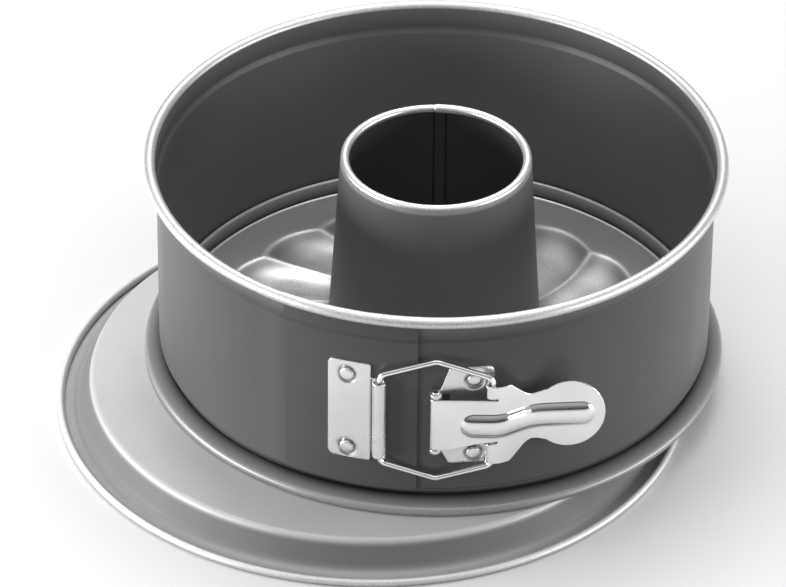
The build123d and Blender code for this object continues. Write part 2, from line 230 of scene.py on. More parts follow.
SPLIT_DROP = 6.95  # the cut over the lower hook, under the lever's middle, and its slope
SPLIT_SLOPE = 0.23
TAIL_SLOPE_X = (4.7, 13.0)  # the tail's lower edge slopes up between these, to this height
TAIL_SLOPE_Z = 28.9
LOWER_CUT_Z = (29.8, 29.15, 27.6)  # both corners of its closed end, and its open end
UPPER_CUT_WIDTH = 0.7
WAIST_X = 30.6
WAIST_HALF = 8.2
WAIST_SETBACK = 0.9
WAIST_BEND = 4.6
SHOULDER_BEND = 1.4
PALM_X = 42.3
PALM_HALF = (11.5, 12.5)
RIB_X = (12.3, 46.2)
RIB_HALF = 4.4
RIB_HEIGHT = 1.6
RIB_CROWN = (2.2, 0.85)  # powers that give the rib's section a flank and a round crown
LEVER_GRID = 0.42


# Lines and sections


def arc(start, heading, radius, turn, step=10.0):
    """Points of an arc that leaves start along a heading and turns by degrees, left if positive."""
    count = max(2, int(abs(turn) / step) + 1)
    side = 1j * math.copysign(radius, turn)
    angles = np.radians(np.linspace(0, turn, count + 1))
    return start + side * heading - side * heading * np.exp(1j * angles)


def bent_line(points, bends, roll=None, start_roll=None):
    """Middle line of a bent sheet: corners with a bend radius each, and a roll at an end."""
    spots = [complex(*p) for p in points]
    runs = [(b - a) / abs(b - a) for a, b in zip(spots, spots[1:])]
    parts = []
    if start_roll:
        radius, turn = start_roll
        parts.append(arc(spots[0], -runs[0], radius, turn)[:0:-1])
    parts.append(spots[:1])
    for number, bend in enumerate(bends):
        corner = spots[number + 1]
        ratio = runs[number + 1] / runs[number]
        turn = math.degrees(math.atan2(ratio.imag, ratio.real))
        setback = bend * math.tan(math.radians(abs(turn) / 2))
        parts.append(arc(corner - runs[number] * setback, runs[number], bend, turn))
    parts.append(spots[-1:])
    if roll:
        radius, turn = roll
        parts.append(arc(spots[-1], runs[-1], radius, turn)[1:])
    return np.concatenate(parts)


def normals_of(line):
    """Unit normals, to the left of an open line's direction of travel."""
    steps = np.diff(line)
    steps = steps / abs(steps)
    ahead = np.append(steps, steps[-1])
    behind = np.append(steps[:1], steps)
    summed = ahead + behind
    return 1j * summed / abs(summed)


def strip_section(line, thickness=SHEET):
    """Both faces of a bent sheet, as a pair of lines of the same length."""
    shift = normals_of(line) * thickness / 2
    return line + shift, line - shift


def rounded(corners, radii):
    """Closed outline with each corner rounded to its own radius."""
    spots = [complex(*c) for c in corners]
    parts = []
    for number, radius in enumerate(radii):
        corner = spots[number]
        into = corner - spots[number - 1]
        out = spots[(number + 1) % len(spots)] - corner
        into, out = into / abs(into), out / abs(out)
        ratio = out / into
        turn = math.degrees(math.atan2(ratio.imag, ratio.real))
        setback = radius * math.tan(math.radians(abs(turn) / 2))
        parts.append(arc(corner - into * setback, into, radius, turn))
    return np.concatenate(parts)


def evenly(outline, step):
    """The same closed outline with points no further apart than step."""
    ends = np.roll(outline, -1)
    parts = []
    for a, b in zip(outline, ends):
        count = max(1, math.ceil(abs(b - a) / step))
        parts.append(a + (b - a) * np.arange(count) / count)
    return np.concatenate(parts)


def divided(line, step):
    """The same open line with no run longer than step."""
    parts = []
    for a, b in zip(line, line[1:]):
        count = max(1, math.ceil(abs(b - a) / step))
        parts.append(a + (b - a) * np.arange(count) / count)
    return np.concatenate([*parts, line[-1:]])


def smooth_step(value):
    value = np.clip(value, 0, 1)
    return value * value * (3 - 2 * value)


def rise(value, start, width):
    """Smoothly from 0 at start to 1 at start + width, where width may be negative."""
    return smooth_step((value - start) / width)


def peak(value, centre, width):
    """Bell curve: 1 at its centre."""
    return np.exp(-(((value - centre) / width) ** 2))


# Meshes


def piece(name, points, faces, material, replaces, body=None, tags=None, sharp=38):
    """A mesh in the frame, from points in millimetres about the ring's axis."""
    mesh = bpy.data.meshes.new(name)
    placed = np.asarray(points, float) * MM + np.array(RING_AT)
    mesh.from_pydata(placed.tolist(), [], faces)
    mesh.validate()
    if tags is not None:
        layer = mesh.attributes.new("wear_and_painted_light", "FLOAT", "POINT")
        layer.data.foreach_set("value", np.asarray(tags, np.float32))
    mesh.materials.append(material)
    mesh.shade_smooth()
    mesh.set_sharp_from_angle(angle=math.radians(sharp))
    made = bpy.data.objects.new(name, mesh)
    bpy.context.scene.collection.objects.link(made)
    if body:
        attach(made, body)
    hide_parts(*replaces)
    return made


class Shell:
    """Collects the points and faces of one piece."""

    def __init__(self):
        self.points, self.faces, self.tags = [], [], []

    def add(self, points, faces, tags=None):
        start = len(self.points)
        self.points.extend(map(tuple, points))
        self.faces.extend([tuple(start + i for i in face) for face in faces])
        self.tags.extend(tags if tags is not None else [0.0] * len(points))

    def piece(self, name, material, slot, replaces, body=None, sharp=38):
        return piece(
            name, self.points, self.faces, material, replaces, body, self.tags, sharp
        )


def sweep_section(shell, section, azimuths, centre=(0, 0), adjust=None, tag=None):
    """Sweeps a strip section (r + iz) round a vertical axis; a full turn closes on itself."""
    left, right = section
    ring = np.concatenate([left, right[::-1]])
    count = len(ring)
    closed = abs(azimuths[-1] - azimuths[0] - 360) < 1e-6
    turns = azimuths[:-1] if closed else azimuths
    points, tags = [], []
    for az in turns:
        here = ring if adjust is None else adjust(ring, az)
        angle = math.radians(az)
        x = centre[0] + here.real * math.cos(angle)
        y = centre[1] + here.real * math.sin(angle)
        points.append(np.stack([x, y, here.imag], 1))
        tags.append(np.zeros(count) if tag is None else tag(ring, az))
    faces = []
    spans = len(turns) if closed else len(turns) - 1
    for turn in range(spans):
        a, b = turn * count, (turn + 1) % len(turns) * count
        for i in range(count):
            j = (i + 1) % count
            faces.append((a + i, a + j, b + j, b + i))
    if not closed:
        last = (len(turns) - 1) * count
        for i in range(len(left) - 1):
            quad = (i, count - 1 - i, count - 2 - i, i + 1)
            faces.append(quad)
            faces.append(tuple(last + k for k in reversed(quad)))
    shell.add(np.concatenate(points), faces, np.concatenate(tags))


def lathe(shell, profile, centre, axis=(0, 0, 1), start=(1, 0, 0), count=40):
    """Closed solid turned about an axis; the profile's ends lie on the axis."""
    axis, start = Vector(axis).normalized(), Vector(start).normalized()
    side = axis.cross(start)
    centre = Vector(centre)
    points = [centre + axis * profile[0][1], centre + axis * profile[-1][1]]
    rows = profile[1:-1]
    for radius, height in rows:
        for k in range(count):
            angle = 2 * math.pi * k / count
            out = start * math.cos(angle) + side * math.sin(angle)
            points.append(centre + axis * height + out * radius)
    faces = []
    last = 2 + (len(rows) - 1) * count
    for k in range(count):
        j = (k + 1) % count
        faces.append((0, 2 + j, 2 + k))
        for row in range(len(rows) - 1):
            a, b = 2 + row * count, 2 + (row + 1) * count
            faces.append((a + k, a + j, b + j, b + k))
        faces.append((last + k, last + j, 1))
    shell.add([tuple(p) for p in points], faces)


class Bent:
    """A sheet's plan line by distance along it, with s = 0 at a chosen point."""

    def __init__(self, line, zero):
        steps = np.concatenate([[0], np.cumsum(abs(np.diff(line)))])
        self.s = steps - steps[np.argmin(abs(line - zero))]
        self.line = line
        self.normals = normals_of(line)

    def at(self, s, shift):
        x = np.interp(s, self.s, self.line.real)
        y = np.interp(s, self.s, self.line.imag)
        nx = np.interp(s, self.s, self.normals.real)
        ny = np.interp(s, self.s, self.normals.imag)
        size = np.hypot(nx, ny)
        return x + nx / size * shift, y + ny / size * shift


def inside(points, outline):
    """True for each point that lies in a closed outline."""
    result = np.zeros(len(points), bool)
    for a, b in zip(outline, np.roll(outline, -1)):
        if a.imag == b.imag:
            continue
        crosses = (a.imag > points.imag) != (b.imag > points.imag)
        reach = a.real + (points.imag - a.imag) / (b.imag - a.imag) * (b.real - a.real)
        result ^= crosses & (points.real < reach)
    return result


def formed_sheet(shell, outline, place, thickness, edge=PLATE_EDGE, grid=0.5, tag=None):
    """Sheet cut to a flat outline, with rounded edges, and formed by place(s, z, depth)."""
    outline = evenly(outline, grid)
    area = np.sum((np.conj(outline) * np.roll(outline, -1)).imag)
    if area < 0:
        outline = outline[::-1]
    headings = np.roll(outline, -1) - np.roll(outline, 1)
    inward = 1j * headings / abs(headings)
    count = len(outline)
    rows = []
    for angle in np.radians(np.linspace(0, 90, 4)):
        rows.append((edge * (1 - math.sin(angle)), edge * (1 - math.cos(angle))))
    rows += [(inset, thickness - depth) for inset, depth in reversed(rows)]
    rim = outline + inward * edge
    xs = np.arange(outline.real.min(), outline.real.max(), grid)
    zs = np.arange(outline.imag.min(), outline.imag.max(), grid)
    cloud = (xs[None, :] + 1j * zs[:, None]).ravel()
    cloud = cloud[inside(cloud, rim)]
    gap = np.array([abs(rim - p).min() for p in cloud])
    cloud = cloud[gap > 0.6 * grid]
    flat = np.concatenate([rim, cloud])
    loop = [(i, (i + 1) % count) for i in range(count)]
    found = delaunay_2d_cdt([Vector((p.real, p.imag)) for p in flat], loop, [], 1, 1e-6)
    spots, triangles, sources = found[0], found[2], found[3]
    index = [ids[0] if ids else -1 for ids in sources]
    extra = [complex(*v) for v, i in zip(spots, index) if i < 0]
    flat = np.concatenate([flat, np.array(extra, complex)])
    fresh = iter(range(len(flat) - len(extra), len(flat)))
    index = [i if i >= 0 else next(fresh) for i in index]
    size = len(flat)
    spots_at = [(flat, 0.0), (flat, thickness)]
    spots_at += [(outline + inward * inset, depth) for inset, depth in rows[1:-1]]
    points = [np.stack(place(at.real, at.imag, depth), 1) for at, depth in spots_at]
    tags = [np.zeros(len(at)) if tag is None else tag(at.real, at.imag) for at, _ in spots_at]
    starts = [0] + [2 * size + k * count for k in range(len(rows) - 2)] + [size]
    faces = []
    for triangle in triangles:
        a, b, c = (index[i] for i in triangle)
        faces.append((a, b, c))
        faces.append((size + a, size + c, size + b))
    for near, far in zip(starts, starts[1:]):
        for i in range(count):
            j = (i + 1) % count
            faces.append((near + j, near + i, far + i, far + j))
    shell.add(np.concatenate(points), faces, np.concatenate(tags))


def wire_loop(shell, path, normal, radius, count=20):
    """Round wire along a closed flat path."""
    tangents = np.roll(path, -1, 0) - np.roll(path, 1, 0)
    tangents /= np.linalg.norm(tangents, axis=1)[:, None]
    sides = np.cross(tangents, normal)
    angles = np.linspace(0, 2 * math.pi, count, endpoint=False)
    rings = [
        p + radius * (np.cos(angles)[:, None] * side + np.sin(angles)[:, None] * normal)
        for p, side in zip(path, sides)
    ]
    faces = []
    for k in range(len(rings)):
        a, b = k * count, (k + 1) % len(rings) * count
        for i in range(count):
            j = (i + 1) % count
            faces.append((a + i, a + j, b + j, b + i))
    shell.add(np.concatenate(rings), faces)


# Materials


class Nodes:
    """Short way to add and join nodes in a material."""

    def __init__(self, name):
        self.material = bpy.data.materials.new(name)
        self.material.use_nodes = True
        self.tree = self.material.node_tree
        self.shader = self.tree.nodes["Principled BSDF"]
        self.coords = self.tree.nodes.new("ShaderNodeTexCoord").outputs["Object"]

    def add(self, kind, **values):
        node = self.tree.nodes.new(kind)
        for key, value in values.items():
            if key in node.inputs:
                node.inputs[key].default_value = value
            else:
                setattr(node, key, value)
        return node

    def join(self, out, into):
        self.tree.links.new(out, into)

    def noise(self, scale, detail=2.0, roughness=0.5, stretch=None):
        node = self.add("ShaderNodeTexNoise", Scale=scale, Detail=detail, Roughness=roughness)
        source = self.coords
        if stretch:
            mapping = self.add("ShaderNodeMapping", Scale=stretch)
            self.join(source, mapping.inputs["Vector"])
            source = mapping.outputs["Vector"]
        self.join(source, node.inputs["Vector"])
        return node.outputs["Fac"]

    def ramp(self, source, low, high, start=0.35, end=0.65):
        node = self.add("ShaderNodeMapRange")
        node.inputs["From Min"].default_value = start
        node.inputs["From Max"].default_value = end
        node.inputs["To Min"].default_value = low
        node.inputs["To Max"].default_value = high
        self.join(source, node.inputs["Value"])
        return node.outputs["Result"]

    def attribute(self, name):
        return self.add("ShaderNodeAttribute", attribute_name=name).outputs["Fac"]

    def math(self, operation, a, b):
        node = self.add("ShaderNodeMath", operation=operation)
        for socket, value in zip(node.inputs, (a, b)):
            if isinstance(value, (int, float)):
                socket.default_value = value
            else:
                self.join(value, socket)
        return node.outputs["Value"]

    def blend(self, factor, a, b):
        """a where factor is 0 and b where it is 1."""
        span = self.math("SUBTRACT", b, a)
        return self.math("ADD", a, self.math("MULTIPLY", factor, span))

    def grey(self, value):
        node = self.add("ShaderNodeCombineColor")
        for socket in node.inputs:
            self.join(value, socket)
        return node.outputs["Color"]

    def bump(self, source, distance, strength=1.0):
        node = self.add("ShaderNodeBump", Strength=strength, Distance=distance)
        self.join(source, node.inputs["Height"])
        self.join(node.outputs["Normal"], self.shader.inputs["Normal"])


def coating(name, plain, edges):
    """Non-stick coating with metal flake: tone, metallic and roughness of its plain faces,
    where the painted-light attribute is 0, and of its painted highlights, where it is 1, which on
    the rolled edges are also worn; below 0 the attribute is a painted shade."""
    tone, metallic, roughness = plain
    bright_tone, bright_metallic, bright_roughness = edges
    n = Nodes(name)
    cloud = n.noise(14.0, 3.0)
    flake = n.noise(2600.0, 1.0)
    streak = n.noise(60.0, 4.0, 0.6, stretch=(1.0, 1.0, 0.12))
    wear_and_light = n.attribute("wear_and_painted_light")
    shade = n.blend(wear_and_light, tone, bright_tone)
    shade = n.math("MULTIPLY", shade, n.ramp(cloud, 0.95, 1.05))
    bright_share = n.math("MAXIMUM", wear_and_light, 0.0)
    fine = n.ramp(flake, 0.95, 1.06, 0.3, 0.75)
    coarse = n.ramp(flake, 0.8, 1.22, 0.3, 0.75)
    speckle = n.blend(bright_share, fine, coarse)
    shade = n.math("MULTIPLY", shade, speckle)
    n.join(n.grey(shade), n.shader.inputs["Base Color"])
    n.join(n.blend(wear_and_light, metallic, bright_metallic), n.shader.inputs["Metallic"])
    n.shader.inputs["Specular IOR Level"].default_value = 0.3
    gloss = n.blend(wear_and_light, roughness, bright_roughness)
    gloss = n.math("MULTIPLY", gloss, n.ramp(streak, 0.93, 1.1))
    n.join(gloss, n.shader.inputs["Roughness"])
    n.bump(flake, 0.00003, 0.1)
    return n.material


def nickel(name, tone, roughness, metallic=1.0):
    """Bright nickelled steel: faint rolling marks, handled patches, and a painted shade in the
    creases where the painted-light attribute is 1.
    """
    n = Nodes(name)
    cloud = n.noise(55.0, 3.0)
    brush = n.noise(420.0, 3.0, 0.6, stretch=(0.05, 1.0, 1.0))
    pits = n.noise(1500.0, 2.0)
    shade = n.math("MULTIPLY", n.ramp(cloud, 0.95, 1.04), tone)
    # painted shade, darkest where the attribute is 1
    shade = n.math("MULTIPLY", shade, n.ramp(n.attribute("wear_and_painted_light"), 1.0, 0.08, 0.0, 1.0))
    n.join(n.grey(shade), n.shader.inputs["Base Color"])
    n.shader.inputs["Metallic"].default_value = metallic
    gloss = n.math("MULTIPLY", n.ramp(cloud, 0.8, 1.3), roughness)
    gloss = n.math("ADD", gloss, n.ramp(brush, 0.0, 0.05))
    n.join(gloss, n.shader.inputs["Roughness"])
    relief = n.math("ADD", n.math("MULTIPLY", brush, 0.4), n.math("MULTIPLY", pits, 0.6))
    n.bump(relief, 0.00004, 0.08)
    return n.material


BAND_COATING = coating("band_coating", (0.125, 0.15, 0.38), (0.62, 0.7, 0.4))
FLOOR_COATING = coating("floor_coating", (0.5, 0.5, 0.34), (0.85, 0.75, 0.34))
TUBE_COATING = coating("tube_coating", (0.17, 0.15, 0.4), (0.8, 0.8, 0.34))
BASE_COATING = coating("base_coating", (0.46, 0.25, 0.5), (0.84, 0.6, 0.42))
LEVER_NICKEL = nickel("lever_nickel", 0.78, 0.13)
PLATE_NICKEL = nickel("plate_nickel", 0.72, 0.22, 0.86)
WIRE_NICKEL = nickel("wire_nickel", 0.9, 0.1)
RIVET_STEEL = nickel("rivet_steel", 0.72, 0.24)


# Spring ring


def ring_line():
    """Middle line of the ring's section, from the rolled rim down to the rolled hem."""
    corners = [
        (NECK_R, RIM_ROLL_Z),
        (NECK_R, STEP_TOP_Z),
        (WALL_R, STEP_FOOT_Z),
        (WALL_R, WALL_FOOT_Z),
        (FOLD_R, WALL_FOOT_Z),
        (FOLD_R, BEAD_TOP_Z),
        (BEAD_R, BEAD_TOP_Z),
        (BEAD_R, BEAD_FOOT_Z),
        HEM_START,
    ]
    bends = [STEP_BEND, STEP_BEND, *FOOT_BENDS]
    rim_roll = (RIM_ROLL_R - SHEET / 2, RIM_ROLL_TURN)
    return bent_line(corners, bends, (HEM_ROLL_R, HEM_ROLL_TURN), rim_roll)


def edge_tag(ring, _):
    """Painted highlight on the rolled rim, together with its wear, on the bead's shoulder and some
    on the hem, and painted shade in the recess over the hem and on the wall's outside.
    """
    r, z = ring.real, ring.imag
    rim = rise(z, RIM_ROLL_Z - 1.9, 0.8) * (rise(r, WALL_R + 0.95, 0.5) + rise(z, RIM_ROLL_Z, 0.6))
    hem = HEM_SHINE * rise(z, HEM_START[1] + 1.5, -1.2) * rise(r, HEM_START[0] - 0.3, 0.7)
    recess = rise(z, WALL_FOOT_Z + 0.3, -0.3) * rise(r, HEM_START[0] - 0.3, -0.6)
    recess *= rise(r, BEAD_R - 0.05, 0.25)
    bead = rise(z, BEAD_TOP_Z + 0.6, -0.3) * rise(r, FOLD_R - 0.05, -0.4)
    bead *= rise(z, BEAD_TOP_Z - 0.9, 0.7)
    outside = rise(r, WALL_R - 0.1, 0.25) * rise(z, RIM_ROLL_Z - 2.2, -0.5)
    outside *= rise(z, WALL_FOOT_Z, 0.5)
    shade = RECESS_SHADE * recess + WALL_SHADE * outside
    return np.clip(rim + hem + bead - shade, -RECESS_SHADE, 1)


def tongue_tag(ring, _):
    """The tongue has the same painted shade as the wall's outside."""
    return np.full(len(ring), -WALL_SHADE)


def swell(ring, centre, amount):
    """Moves the points near a roll's centre outwards from it."""
    away = ring - centre
    near = np.clip(ROLL_REACH - abs(away), 0, ROLL_FADE) / ROLL_FADE
    return ring + away / np.maximum(abs(away), 1e-6) * near * amount


HEM_HEADING = complex(HEM_START[0] - BEAD_R, HEM_START[1] - BEAD_FOOT_Z)
HEM_CENTRE = complex(*HEM_START) - 1j * HEM_HEADING / abs(HEM_HEADING) * HEM_ROLL_R
RIM_CENTRE = complex(RIM_OUTER_R - RIM_ROLL_R, RIM_ROLL_Z)


def right_adjust(ring, az):
    """The rolled edges start with a softly rounded cut at the seam."""
    amount = -CUT_PINCH * (1 - rise(az, SEAM_AZ, CUT_SWEEP))
    return swell(swell(ring, RIM_CENTRE, amount), HEM_CENTRE, amount)


def left_adjust(ring, az):
    """The wall eases out to the outer layer's radius and the rolls thin before the seam."""
    before = SEAM_AZ - SEAM_GAP - az
    ease = smooth_step((SPIRAL_SWEEP - before) / SPIRAL_SWEEP)
    wall = rise(ring.imag, WALL_FOOT_Z - 0.3, 0.3) * (ring.real > FOLD_R + 0.28)
    wall = wall * rise(ring.imag, RIM_ROLL_Z - 0.4, -2.5)
    amount = -SEAM_PINCH * (1 - rise(before, 0, SEAM_PINCH_SWEEP))
    rolled = swell(swell(ring, RIM_CENTRE, amount), HEM_CENTRE, amount)
    return rolled + LAYER_STEP * ease * wall


def steps_between(start, end, step, finer=()):
    """Azimuths from start to end, with extra ones in the finer stretches (from, to, step)."""
    count = max(1, math.ceil((end - start) / step))
    values = set(np.round(np.linspace(start, end, count + 1), 5))
    for low, high, small in finer:
        values |= set(np.round(np.arange(max(low, start), min(high, end), small), 5))
    ordered = sorted(values)
    kept = [ordered[0]]
    kept += [b for a, b in zip(ordered, ordered[1:]) if b - a > 1e-3]
    return kept


def spring_ring():
    """Two sides, each on its own body, and the back between them as a third piece."""
    section = strip_section(ring_line())
    right_end = 360 + SPLIT_AZ - FLEX_HALF
    left_start = SPLIT_AZ + FLEX_HALF
    left_end = SEAM_AZ - SEAM_GAP
    right = Shell()
    azimuths = steps_between(SEAM_AZ, right_end, AZ_STEP, [(SEAM_AZ, SEAM_AZ + 0.3, 0.06)])
    sweep_section(right, section, azimuths, adjust=right_adjust, tag=edge_tag)
    right.piece("ring_wall_right", BAND_COATING, "dark_coating", ["band_right"], "ring_right")
    back = Shell()
    azimuths = steps_between(SPLIT_AZ - FLEX_HALF, left_start, AZ_STEP)
    sweep_section(back, section, azimuths, tag=edge_tag)
    halves = ["band_right", "band_left"]
    flexing = back.piece("ring_wall_back", BAND_COATING, "dark_coating", halves)
    start, end = (
        RING_AT + Vector((side * WALL_R * MM * math.sin(math.radians(FLEX_HALF)), 0, 0))
        for side in (1, -1)
    )
    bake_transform(flexing)
    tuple(start)
    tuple(end)
    left = Shell()
    easing = (left_end - SPIRAL_SWEEP, left_end, 0.5)
    azimuths = steps_between(left_start, left_end, AZ_STEP, [easing])
    sweep_section(left, section, azimuths, adjust=left_adjust, tag=edge_tag)
    tongue = bent_line(
        [
            (NECK_R + LAYER_STEP, TONGUE_TOP_Z),
            (NECK_R + LAYER_STEP, STEP_TOP_Z),
            (WALL_R + LAYER_STEP, STEP_FOOT_Z),
            (WALL_R + LAYER_STEP, TONGUE_FOOT_Z),
        ],
        [STEP_BEND, STEP_BEND],
    )
    azimuths = steps_between(left_end, TONGUE_END_AZ, AZ_STEP)
    sweep_section(left, strip_section(tongue), azimuths, tag=tongue_tag)
    left.piece("ring_wall_left", BAND_COATING, "dark_coating", ["band_left"], "ring_left")


# Bases


def flat_base():
    """Plateau, sloping side, gutter and rolled edge, turned about its own axis."""
    line = bent_line(
        [
            (0.01, -SHEET / 2),
            (PLATEAU_R, -SHEET / 2),
            (SLOPE_FOOT_R, GUTTER_Z),
            (FLAT_ROLL_START_R, GUTTER_Z),
        ],
        FLAT_BENDS,
        (FLAT_ROLL_R, FLAT_ROLL_TURN),
    )
    line = np.concatenate([line[:1], divided(line[1:], 0.8)])
    shell = Shell()

    # Painted highlight on the rolled edge and the plateau's lip, painted shade on the slope and
    # less of it in the gutter.
    def tag(ring, _):
        r, z = ring.real, ring.imag
        roll = rise(r, FLAT_ROLL_START_R - 0.4, 0.8)
        lip = rise(r, PLATEAU_R - 1.2, 0.8) * rise(z, -1.6, 0.8)
        under = rise(z, -0.9, -1.5) * (1 - roll)
        channel = rise(r, SLOPE_FOOT_R - 0.5, 2.0)
        shade = SLOPE_SHADE + (GUTTER_SHADE - SLOPE_SHADE) * channel
        return FLAT_ROLL_SHINE * roll + FLAT_LIP_SHINE * lip - under * shade

    middle_xy = (FLAT_OFFSET.x, FLAT_OFFSET.y)
    azimuths = steps_between(0, 360, AZ_STEP)
    sweep_section(shell, strip_section(line), azimuths, middle_xy, tag=tag)
    shell.piece("leakproof_base", BASE_COATING, "grey_coating", ["flat_base"], "flat_base")


def lobe_place(radius, azimuth):
    """Distances from the nearest lobe's centre and axis: 1 at its outline and at the ridges."""
    pitch = 360 / LOBES
    swirl = LOBE_SWIRL * np.clip(LOBE_OUTLINE_R - radius, 0, None)
    local = (azimuth - LOBE_FIRST_AZ + swirl + pitch / 2) % pitch - pitch / 2
    across = radius * np.sin(np.radians(local))
    along = radius * np.cos(np.radians(local)) - LOBE_CENTRE_R
    return np.hypot(across, along) / LOBE_R, abs(local) / pitch * 2


def lobe_drop(radius, azimuth):
    """How far the pressed floor lies under its flat ring."""
    share, side = lobe_place(radius, azimuth)
    bowl = 1 - share**LOBE_SIDE
    bowl = (bowl + np.sqrt(bowl**2 + LOBE_EDGE_SOFTNESS**2)) / 2
    ridge = np.sqrt(side**2 + RIDGE_SOFTNESS)
    return LOBE_DEPTH * bowl * (1 - RIDGE_RISE * ridge**3)


def lobe_tag(radius, azimuth):
    """Painted highlights at the lobes' edges, ridges and bottoms, and painted shade in a band
    inside the edges.
    """
    share, side = lobe_place(radius, azimuth)
    ridge = peak(side, 1.0, 0.09) * (share < 1)
    edges = np.maximum(peak(share, 1.0, 0.035), RIDGE_SHINE * ridge)
    band = rise(share, 0.62, 0.24) * rise(share, 0.98, -0.06) * (1 - ridge)
    hollow = rise(share, 0.7, -0.3)
    return LOBE_EDGE_SHINE * edges - LOBE_BAND_SHADE * band + LOBE_HOLLOW_SHINE * hollow


def tube_base_plate():
    """Flat ring, skirt and the pressed lobes, as one closed sheet."""
    rim = bent_line(
        [
            (FLAT_RING_R, FLOOR_Z - SHEET / 2),
            (FLOOR_EDGE_R, FLOOR_Z - SHEET / 2),
            (SKIRT_R, SKIRT_TOP_Z),
            (SKIRT_R, SKIRT_FOOT_Z),
        ],
        [SKIRT_BEND, SKIRT_BEND],
    )
    inner = np.arange(TUBE_FOOT_R - 0.5, FINE_FLOOR_R, 0.8)
    outer = np.arange(FINE_FLOOR_R, FLAT_RING_R, 0.5)
    lip_rows = np.arange(LIP_R - 0.9, LIP_R + 0.2, 0.15)
    flat = np.concatenate([inner, outer, [FLAT_RING_R], lip_rows])
    line = np.concatenate([flat + 1j * (FLOOR_Z - SHEET / 2), rim[1:]])
    left, right = strip_section(line)
    shell = Shell()

    def adjust(ring, az):
        lip = LIP_HEIGHT * peak(ring.real, LIP_R, LIP_WIDTH)
        return ring + 1j * (lip - lobe_drop(ring.real, az))

    # Painted highlight on the lip, and the lobes' painted highlights and shade
    def tag(ring, az):
        lip = rise(ring.real, LIP_R - 0.5, 0.3) * rise(ring.real, LIP_R + 0.9, -0.4)
        return lip + lobe_tag(ring.real, az)

    azimuths = steps_between(0, 360, 360 / LOBES / LOBE_SPANS)
    sweep_section(shell, (left, right), azimuths, adjust=adjust, tag=tag)
    node = "tube_base_plate"
    shell.piece("tube_base_floor", FLOOR_COATING, "dark_coating", [node], "tube_base", 60)


def centre_tube():
    """Tapered tube, its rim rolled inwards, with a lock seam up the back folded to the inside."""
    line = bent_line(
        [
            (TUBE_FLANGE_R, TUBE_FLANGE_Z),
            (TUBE_FOOT_R - SHEET / 2, TUBE_FLANGE_Z),
            (TUBE_ROLL_OUTER_R - SHEET / 2, TUBE_ROLL_Z),
        ],
        [0.3],
        (TUBE_ROLL_R - SHEET / 2, TUBE_ROLL_TURN),
    )
    line = divided(line, 2.0)
    left, right = strip_section(line)
    inner_is_left = left.real.mean() < right.real.mean()
    count = len(line)
    roll_centre = complex(TUBE_ROLL_OUTER_R - TUBE_ROLL_R, TUBE_ROLL_Z)

    def adjust(ring, az):
        here = ring.copy()
        faces = slice(0, count) if inner_is_left else slice(count, 2 * count)
        face = here[faces]
        across = math.radians(az - TUBE_SEAM_AZ) * TUBE_SEAM_R
        fold = rise(abs(across), TUBE_SEAM_HALF + 0.125, -0.25)
        groove = peak(abs(across), TUBE_SEAM_HALF + 0.15, 0.22)
        wall = (face.real > TUBE_WALL_R) * rise(face.imag, 3, 2)
        here[faces] = face - wall * (TUBE_SEAM_PROUD * fold - TUBE_SEAM_GROOVE * groove)
        step = TUBE_ROLL_STEP * rise(across, TUBE_SEAM_HALF - 0.15, 0.3)
        fade = 1 - rise(across, TUBE_SEAM_HALF, TUBE_ROLL_FADE)
        return swell(here, roll_centre, -step * fade)

    # Painted highlight on the rolled rim, together with its wear, and painted shade down the inside
    # of the tube under it.
    def tag(ring, _):
        faces = np.arange(2 * count) < count
        bore = faces if inner_is_left else ~faces
        roll = rise(ring.imag, TUBE_ROLL_Z - 1.7, 0.7)
        return np.where(bore & (ring.imag < TUBE_ROLL_Z), BORE_SHADE_LEVEL, roll)

    shell = Shell()
    seam = (TUBE_SEAM_AZ - TUBE_SEAM_SWEEP, TUBE_SEAM_AZ + TUBE_SEAM_SWEEP, 0.2)
    azimuths = steps_between(0, 360, 2.0, [seam])
    sweep_section(shell, (left, right), azimuths, adjust=adjust, tag=tag)
    shell.piece("chimney", TUBE_COATING, "dark_coating", ["centre_tube"], "tube_base", 50)


# Latch


def wall_arc(radius, x_from, x_to, count=24):
    """Plan points along the front of a wall of this radius."""
    xs = np.linspace(x_from, x_to, count)
    return xs - 1j * np.sqrt(radius**2 - xs**2)


def x_to_s(bent, x, low, high):
    """Distance along a bent line at which it passes x, looked for where s is low to high."""
    chosen = (bent.s >= low) & (bent.s <= high)
    xs, ss = bent.line.real[chosen], bent.s[chosen]
    order = np.argsort(xs)
    return float(np.interp(x, xs[order], ss[order]))


def dimples(s, z, spots):
    """Depth of the dishes pressed round the rivets."""
    drop = np.zeros_like(s)
    for s0, z0 in spots:
        away = np.hypot(s - s0, z - z0)
        drop += DIMPLE_DEPTH * rise(away, DIMPLE_R, -DIMPLE_SIDE)
    return drop


def dimple_shade(s, z, spots):
    """Painted shade in the crease between a rivet's head and the side of its dimple."""
    shade = np.zeros_like(s)
    for s0, z0 in spots:
        away = np.hypot(s - s0, z - z0)
        shade += DIMPLE_CREASE_SHADE * rise(away, DIMPLE_R - 0.25, -0.8) * rise(away, 1.7, 0.4)
    return shade


def plate_place(bent, spots, facing):
    """Places a latch plate's points: facing is the side of its line that its front is on."""

    def place(s, z, depth):
        shift = LATCH_SHEET / 2 - depth
        shift = shift - dimples(s, z, spots) * (1 - depth / LATCH_SHEET)
        x, y = bent.at(s, facing * shift)
        return x, y, z

    return place


